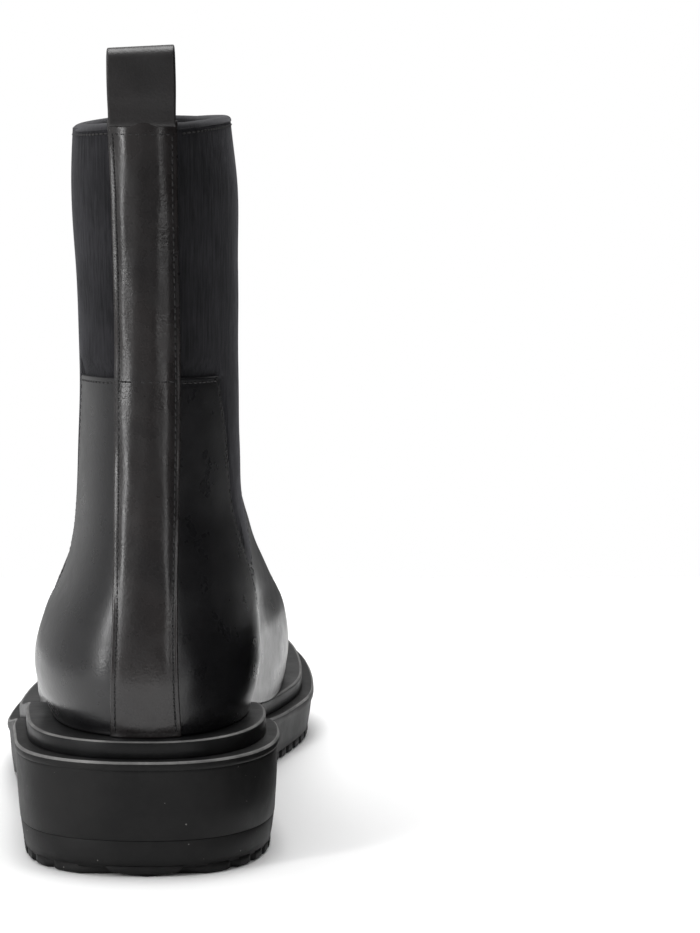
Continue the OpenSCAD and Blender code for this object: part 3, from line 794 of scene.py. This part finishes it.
def strap_level(z):
    """The strap lies on the quarters below their top edge, and steps down to the elastic above it."""
    return mix(1.45, 1.15, ease(QUARTER_TOP - 2, QUARTER_TOP + 5, z))


def strap_wrinkles(u, z):
    """Fine creases across the strap near its top."""
    waves = np.sin(1.05 * z + 3 * np.sin(0.21 * z) + 2 * u)
    return 0.09 * waves * ease(196, 206, z) * (1 - ease(222, 236, z))


def build_strap():
    """Strap up the back, a little past the topline, where the pull loop carries it on."""
    us = crowded(16, 22)
    vs = crowded(110, 205)
    cross_seam = 165.9
    level_at_loop = 1.36
    def turn_of(u, z):
        return turn_by_x(strap_middle(z) + strap_half(z) * (2 * u - 1), z)
    patch = Patch(turn_of, on_seat, lambda p: TOPLINE + 0.8, us, vs)
    def outside(turn, z, edge, u):
        crown = 0.22 * (1 - (2 * u - 1) ** 2)
        seams = seam_sink(edge, SEAM_INSET, 0.2) + seam_sink(z, cross_seam, 0.12, 1.0)
        depth = strap_level(z) + crown + seams + strap_wrinkles(u, z) + undulate(8 * turn, z, 0.09)
        return mix(depth, level_at_loop, ease(249.0, TOPLINE, z))
    obj = thick_sheet("back_strap_leather", [patch], outside, 0.08, [STRAP_LEATHER, CUT_EDGE], 0.5)
    own(obj, "strap_leather", "back_strap")


def build_lining():
    """Back and front lining, joined by a seam on each side."""
    us = crowded(120, 300)
    vs = crowded(60, 200)
    top = under_rim(1.2)
    def back(u, z):
        return mix(-turn_at(LINING_SEAM, z), turn_at(LINING_SEAM, z), u)
    def front(u, z):
        return mix(turn_at(LINING_SEAM + 0.1, z), 2 - turn_at(LINING_SEAM + 0.1, z), u)
    pieces = (("back_lining", back, "lining_back"), ("front_lining", front, "lining_front"))
    for name, turn_of, node in pieces:
        patch = Patch(turn_of, on_seat, top, us, vs, LINING_OUT)
        obj = thick_sheet(name, [patch], lambda turn, z, edge, u: LINING_OUT + 0 * z, LINING_IN,
                          [LINING_LEATHER, CUT_EDGE], 0.2)
        own(obj, "lining", node)


def build_binding():
    """Edge folded over the topline: up the outside, over a round top and down the inside."""
    steps = 240
    turns = -1 + 2 * np.arange(steps) / steps
    out, inside = 0.12, -4.4
    low_out, low_in = 249.8, 246.0
    cloth = 0.9
    middle, radius = (out + inside) / 2, (out - inside) / 2
    crown = 0.72 * radius
    profile = [(out - 0.1, low_out), (out, 250.0), (out, 250.2)]
    for k in range(13):
        w = math.pi * k / 12
        profile.append((middle + radius * math.cos(w), TOPLINE - crown + crown * math.sin(w)))
    profile += [(inside, 249.0), (inside, 248.0), (inside, low_in)]
    profile += [(inside + cloth, low_in), (out - cloth, low_out)]
    rings = [shell(turns, np.full(steps, min(z, TOPLINE)), np.full(steps, d)) for d, z in profile]
    for ring, (d, z) in zip(rings, profile):
        ring[:, 2] = z + rim_rise(ring[:, 0]) + 0.12 * np.sin(2 * np.pi * turns + 0.6)
    points = np.concatenate(rings)
    n = len(profile)
    faces = [(k * steps + i, k * steps + (i + 1) % steps, ((k + 1) % n) * steps + (i + 1) % steps,
              ((k + 1) % n) * steps + i) for k in range(n) for i in range(steps)]
    obj = mesh_object("topline_tape", points, [f[::-1] for f in faces], [TAPE])
    own(obj, "binding", "topline_binding")


def loop_path(height):
    """Outer side of the loop as (y, z) from its root: up the back, over and down inside."""
    half_depth = 4.2
    back_foot, front_foot = 2.7, 2.5
    straight = height - half_depth
    legs = np.linspace(2, straight, 14)
    path = [(-2.2, -3.2), (-2.55, -2.4), (-2.75, -1.4)]
    path += [(-mix(back_foot, half_depth, ease(0, 11, z)), z) for z in legs]
    for k in range(1, 12):
        w = math.pi * k / 12
        path.append((-half_depth * math.cos(w), straight + half_depth * math.sin(w)))
    path += [(mix(front_foot, half_depth, ease(0, 11, z)), z) for z in legs[::-1]]
    path += [(front_foot, -1.0), (front_foot, -4.0), (front_foot, -9.0)]
    return np.array(path)


def build_loop():
    """Pull loop: the strap goes up, folds over and comes down inside the topline."""
    low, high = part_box("pull_loop")
    mid_y = (low + high).y / 2 / MM + ORIGIN[1]
    root_z = TOPLINE + 2.0
    height = high.z / MM - root_z
    outer = loop_path(height)
    tangent = np.gradient(outer, axis=0)
    tangent /= np.linalg.norm(tangent, axis=1, keepdims=True)
    inward = np.stack([tangent[:, 1], -tangent[:, 0]], 1)
    xs = np.concatenate([[-1, -0.99, -0.965, -0.92], np.linspace(-0.85, 0.85, 15), [0.92, 0.965, 0.99, 1]])
    half_width, full_rise = 11.3, 23.3
    drops = edge_drop((1 - np.abs(xs)) * half_width, 0.5)
    points, count = [], len(outer)
    for is_inner in (False, True):
        for (y, z), (ny, nz) in zip(outer, inward):
            rise = max(0.0, z) / full_rise
            bulge = math.sin(math.pi * min(1, rise))
            width = mix(11.1, 11.25, bulge)
            shift = mix(-0.7, -1.0, rise)
            for x, drop in zip(xs, drops):
                depth = LEATHER_T - drop if is_inner else drop
                tilt = 0.55 * x * rise * rise
                belly = 0.15 * (1 - x * x) * bulge * (1 if y > 0 else -1)
                points.append((shift + x * width, mid_y + y + ny * depth + belly,
                               root_z + z + nz * depth + tilt))
    m = len(xs)
    layer = count * m
    faces = []
    for i in range(count - 1):
        for j in range(m - 1):
            a = i * m + j
            faces.append((a, a + 1, a + m + 1, a + m))
            faces.append((layer + a, layer + a + m, layer + a + m + 1, layer + a + 1))
    leather_faces = len(faces)
    for i in range(count - 1):
        a, b = i * m, (i + 1) * m
        faces.append((a, b, layer + b, layer + a))
        faces.append((b + m - 1, a + m - 1, layer + a + m - 1, layer + b + m - 1))
    for j in range(m - 1):
        faces.append((j + 1, j, layer + j, layer + j + 1))
        a = (count - 1) * m + j
        faces.append((a, a + 1, layer + a + 1, layer + a))
    indices = [0] * leather_faces + [1] * (len(faces) - leather_faces)
    obj = mesh_object("pull_loop_leather", points, faces, [LOOP_LEATHER, CUT_EDGE], indices)
    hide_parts("pull_loop")
    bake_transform(obj)


# --- Seams ---
def strap_rows():
    """Rows along the strap's edges, below the loop and at the quarters' top."""
    z = np.linspace(48, 248.2, 120)
    rows = []
    for sign in (1, -1):
        turns = turn_by_x(strap_middle(z) + sign * (strap_half(z) - SEAM_INSET), z)
        rows.append(line_points(turns, z, strap_level(z) - 0.08))
    for height in (248.4, 165.9):
        z = np.full(20, height)
        turns = turn_by_x(np.linspace(-1, 1, 20) * (strap_half(z) - 1.9) + strap_middle(z), z)
        rows.append(line_points(turns, z, strap_level(z) + 0.02))
    return rows


def quarter_rows():
    """Along the upper edge of each quarter and down its front edge."""
    top = 165.4
    inset = 2.0
    rows = []
    for side in (INNER, OUTER):
        start = turn_by_x(side * 11.5, np.array([top]))[0]
        stop = side * float(turn_at(quarter_front(side, top) - inset, top))
        turns = np.linspace(start, stop, 30)
        places = skin(turns, np.full(30, top))[:, 1]
        rows.append(line_points(turns, quarter_top(places) - SEAM_INSET, -0.1))
        z = np.linspace(162.5, 45, 70)
        rows.append(line_points(side * turn_at(quarter_front(side, z) - inset, z), z, -0.1))
    return rows


def vamp_rows():
    """Two rows below each elastic and two in front of it."""
    rows = []
    for side in (INNER, OUTER):
        for offset in (SEAM_INSET, 4.0):
            y = np.linspace(wing_start(side) + 4, WING_TIP[0] + offset, 40)
            z = wing_edge(y) - offset
            rows.append(line_points(side * turn_at(y, z), z, -0.1))
            z = np.linspace(wing_edge(WING_TIP[0]) - offset, 247.5, 90)
            rows.append(line_points(side * turn_at(gusset_front(z) + offset, z), z, -0.1))
    return rows


def topline_rows():
    """Below the rim from the strap to the front."""
    low = 248.5
    rows = []
    for side in (INNER, OUTER):
        start = turn_by_x(side * 12.0, np.array([low]))[0]
        turns = np.linspace(start, side * 1.0, 90)
        rows.append(line_points(turns, low + rim_rise(skin(turns, np.full(90, low))[:, 0]), 0.02))
    return rows


# --- Sole ---
def sole_ring(inset, z_of, first, last, n):
    """Closed ring round the sole from y = first to y = last. None means the round end there."""
    a = inset if first is None else first
    b = SOLE_LENGTH - inset if last is None else last
    w = np.arange(n + 1) / n
    if first is None and last is None:
        w = (1 - np.cos(np.pi * w)) / 2
    elif first is None:
        w = 1 - np.cos(np.pi / 2 * w)
    elif last is None:
        w = np.sin(np.pi / 2 * w)
    y = mix(a, b, w)
    z = z_of(y)
    inner = np.stack([sole_x(INNER, y, inset) + lean(y), y, z], 1)
    outer = np.stack([-sole_x(OUTER, y, inset) + lean(y), y, z], 1)
    return np.concatenate([inner, outer[::-1]])


def loft(name, profile, first, last, n, highlit_rings=(), rubber=SOLE_RUBBER):
    """Closed slab through rings of (inset, height, end shift), from its underside up. Faces from the listed
    lip rings are painted a lighter grey as a highlight.
    """
    rings = [sole_ring(inset, z_of, None if first is None else first + shift,
                       None if last is None else last - shift, n) for inset, z_of, shift in profile]
    size = len(rings[0])
    points = np.concatenate(rings)
    faces, indices = [], []
    for k in range(len(rings) - 1):
        for i in range(size):
            j = (i + 1) % size
            faces.append((k * size + i, k * size + j, (k + 1) * size + j, (k + 1) * size + i))
            indices.append(1 if k in highlit_rings else 0)
    top = (len(rings) - 1) * size
    for i in range(n):
        far = size - 1 - i
        faces.append((i, far, far - 1, i + 1))
        faces.append((top + i, top + i + 1, top + far - 1, top + far))
        indices += [0, 0]
    _, first_of, back = np.unique(np.round(points, 4), axis=0, return_index=True, return_inverse=True)
    back = back.ravel()
    clean, clean_indices = [], []
    for f, index in zip(faces, indices):
        welded = []
        for v in f:
            if not welded or back[v] != welded[-1]:
                welded.append(int(back[v]))
        if welded[0] == welded[-1]:
            welded.pop()
        if len(set(welded)) == len(welded) and len(welded) > 2:
            clean.append(tuple(welded))
            clean_indices.append(index)
    return mesh_object(name, points[first_of], clean, [rubber, LIP_HIGHLIGHT], clean_indices)


def level(z_of, shift):
    """The height z_of, moved up by shift."""
    return lambda y: z_of(y) + shift


def flat(z):
    """The same height all along the foot."""
    return lambda y: z + 0 * y


def midsole_base(y):
    return seat(y) - MIDSOLE_T


def build_midsole():
    profile = [(4.9, midsole_base, 0), (4.7, level(midsole_base, 0.3), 0), (4.7, level(seat, -1.0), 0),
               (4.8, level(seat, -0.45), 0), (5.1, level(seat, -0.12), 0), (5.7, seat, 0),
               (6.6, level(seat, 0.02), 0)]
    # These lip rings get the painted highlight.
    lip_highlight_rings = (3, 4)
    obj = loft("midsole_rubber", profile, None, None, 160, lip_highlight_rings, MIDSOLE_RUBBER)
    own(obj, "midsole_rubber", "midsole")


def build_outsole():
    """Outsole: full depth under the forefoot, a thin band over the heel."""
    top = midsole_base
    lip = level(top, -HEEL_BAND_T)
    def base(y):
        ground = np.where(y < HEEL_LENGTH, HEEL_TOP, underside(y))
        return np.minimum(ground + GROOVE_D * ease(176, 177, y), lip(y))
    def wall(above_base, above_lip):
        return lambda y: np.maximum(base(y) + above_base, lip(y) + above_lip)
    profile = [(3.0, base, 0), (2.4, level(base, 0.4), 0),
               (1.5, lambda y: np.maximum(base(y) + 0.5, mix(base(y), top(y), 0.35)), 0),
               (0.8, wall(0.6, -0.8), 0), (0.5, wall(0.7, 0.02), 0), (0.2, wall(0.8, 0.6), 0),
               (0.0, level(top, -2.0), 0), (0.1, level(top, -0.8), 0), (0.35, level(top, -0.3), 0),
               (0.85, level(top, -0.03), 0), (1.7, top, 0)]
    # These lip rings get the painted highlight.
    lip_highlight_rings = (7, 8)
    own(loft("outsole_rubber", profile, None, None, 200, lip_highlight_rings), "sole_rubber", "outsole")


def build_heel():
    block = [(1.95, flat(HEEL_LIFT_T + 0.02), 0.3), (1.8, flat(HEEL_LIFT_T + 0.25), 0),
             (1.2, flat(22.0), 0), (0.85, flat(30.0), 0), (0.55, flat(HEEL_TOP - 0.4), 0),
             (0.45, flat(HEEL_TOP + 0.9), 0), (0.7, flat(HEEL_TOP + 1.2), 0.3)]
    own(loft("heel_block_rubber", block, None, HEEL_LENGTH, 90), "sole_rubber", "heel_block")
    lift = [(3.4, flat(GROOVE_D), 0), (2.7, flat(6.5), 0), (1.95, flat(HEEL_LIFT_T - 0.25), 0),
            (2.05, flat(HEEL_LIFT_T - 0.02), 0.3)]
    own(loft("heel_lift_rubber", lift, None, HEEL_LENGTH, 90), "tread_rubber", "heel_lift")


def tread_bars(prefix, first, stop, ground, inset):
    """Bars across the sole from first to stop, one to each pitch."""
    profile = [(inset + 1.3, ground, 0.7), (inset + 0.6, level(ground, 0.15), 0.3),
               (inset + 0.15, level(ground, 0.6), 0.05), (inset, level(ground, 1.2), 0),
               (inset, level(ground, GROOVE_D + 0.6), 0)]
    shortest = 1.5
    for number, start in enumerate(np.arange(first, stop - shortest, TREAD_PITCH)):
        end = min(start + TREAD_PITCH - GROOVE_W, stop)
        obj = loft(prefix + str(number), profile, start, end, 6)
        own(obj, "tread_rubber")


def build_tread():
    first_bar = TREAD_PITCH / 2 + GROOVE_W
    tread_bars("heel_bar_", first_bar, HEEL_LENGTH, flat(0.0), 3.3)
    tread_bars("tread_bar_", TREAD_START + first_bar, SOLE_LENGTH - 7, underside, 2.4)
    back = [(5.2, flat(0.0), 0.7), (4.3, flat(0.5), 0.2), (3.7, flat(1.4), 0), (3.2, flat(GROOVE_D + 0.6), 0)]
    own(loft("heel_bar_back", back, None, TREAD_PITCH / 2, 24), "tread_rubber")


# --- Parts hidden inside ---
def dress_inside():
    """The carried-over solids get a material each."""
    looks = {
        "footbed": leather("footbed_leather", (0.03, 0.029, 0.029), (0.05, 0.048, 0.047), 0.6, 0.0),
        "heel_pad": plain("foam", (0.5, 0.4, 0.2), 0.9, scale=1500),
        "insole_board": plain("board", (0.36, 0.26, 0.16), 0.85, scale=600),
        "shank": plain("steel", (0.42, 0.42, 0.43), 0.35, 1.0, 900),
        "shank_rivets": plain("rivet_steel", (0.5, 0.5, 0.5), 0.3, 1.0, 900),
        "bottom_filler": plain("cork", (0.36, 0.22, 0.11), 0.9, scale=450),
        "heel_counter": plain("stiffener", (0.3, 0.23, 0.15), 0.7, scale=500),
        "toe_puff": plain("puff", (0.3, 0.23, 0.15), 0.7, scale=500),
        "heel_nails": plain("nail_brass", (0.5, 0.36, 0.14), 0.35, 1.0, 900),
    }
    for name, material in looks.items():
        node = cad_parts[name]
        if not node.material_slots:
            node.data.materials.append(material)
        for place in node.material_slots:
            place.material = material


# --- Camera, light and floor ---
def build_camera():
    cam = bpy.data.objects.new("camera", bpy.data.cameras.new("camera"))
    bpy.context.scene.collection.objects.link(cam)
    cam.location = to_frame([68, -1150, 280.7])
    cam.rotation_euler = Euler((math.radians(90 - 7), 0, 0))
    cam.data.lens = 135.4
    cam.data.sensor_width = 36
    cam.data.clip_end = 20
    bpy.context.scene.camera = cam


def build_world():
    """White to the camera. Its light fades from the outer side to the inner side."""
    world = bpy.data.worlds.new("studio")
    bpy.context.scene.world = world
    world.use_nodes = True
    tree = world.node_tree
    tree.nodes.clear()
    out = tree.nodes.new("ShaderNodeOutputWorld")
    seen = add(tree, "ShaderNodeBackground", Strength=1.0, Color=(1, 1, 1, 1))
    lit = add(tree, "ShaderNodeBackground", Color=(1, 1, 1, 1))
    direction = add(tree, "ShaderNodeTexCoord").outputs["Generated"]
    across = add(tree, "ShaderNodeSeparateXYZ", [(0, direction)]).outputs["X"]
    tree.links.new(spread(tree, across, -0.9, 0.5, 0.6, 0.03), lit.inputs["Strength"])
    camera_ray = add(tree, "ShaderNodeLightPath").outputs["Is Camera Ray"]
    mixed = add(tree, "ShaderNodeMixShader", [(0, camera_ray), (1, lit.outputs[0]), (2, seen.outputs[0])])
    tree.links.new(mixed.outputs[0], out.inputs[0])


def stage_sheet(name, corners, grey):
    """Matt flat piece of the studio, in metres."""
    mesh = bpy.data.meshes.new(name)
    mesh.from_pydata(corners, [], [(0, 1, 2, 3)])
    obj = bpy.data.objects.new(name, mesh)
    bpy.context.scene.collection.objects.link(obj)
    material, _, shader, _ = node_set(name)
    shader.inputs["Base Color"].default_value = (grey, grey, grey, 1)
    shader.inputs["Roughness"].default_value = 1.0
    shader.inputs["Specular IOR Level"].default_value = 0.0
    mesh.materials.append(material)
    return obj


def build_floor():
    """Pale floor, and a low dark card that only shows in the boot's reflections."""
    half = 0.5
    corners = [(-half, -half, 0), (half, -half, 0), (half, half, 0), (-half, half, 0)]
    floor = stage_sheet("floor", corners, 0.9)
    x, height = 0.085, 0.07
    back, front = -0.2, 0.02
    corners = [(x, back, 0), (x, front, 0), (x, front, height), (x, back, height)]
    card = stage_sheet("dark_card", corners, 0.01)
    card.visible_camera = False
    card.visible_diffuse = False
    card.visible_shadow = False


def light(name, place, aim, size, power):
    data = bpy.data.lights.new(name, "AREA")
    data.shape = "RECTANGLE"
    data.size, data.size_y = size
    data.energy = power
    obj = bpy.data.objects.new(name, data)
    bpy.context.scene.collection.objects.link(obj)
    obj.location = place
    obj.rotation_euler = (Vector(aim) - Vector(place)).to_track_quat("-Z", "Y").to_euler()


build_quarter(INNER)
build_quarter(OUTER)
build_vamp()
build_gusset(INNER)
build_gusset(OUTER)
build_strap()
build_lining()
build_binding()
build_loop()
stitch_rows("strap_stitches", strap_rows())
stitch_rows("quarter_stitches", quarter_rows())
stitch_rows("vamp_stitches", vamp_rows())
stitch_rows("topline_stitches", topline_rows())
build_midsole()
build_outsole()
build_heel()
build_tread()
dress_inside()
build_camera()
build_world()
build_floor()
light("left_softbox", (-0.85, -0.85, 0.5), (0, -0.1, 0.14), (0.16, 1.1), 6.4)
light("right_softbox", (0.62, -1.25, 0.45), (0, -0.1, 0.14), (0.16, 1.0), 1.8)
light("top_softbox", (0.0, 0.1, 1.9), (0, 0, 0.0), (1.3, 1.3), 42)
light("front_fill", (0.3, 1.6, 0.8), (0, 0, 0.1), (1.2, 0.8), 2.5)

bpy.context.scene.view_settings.view_transform = "Standard"
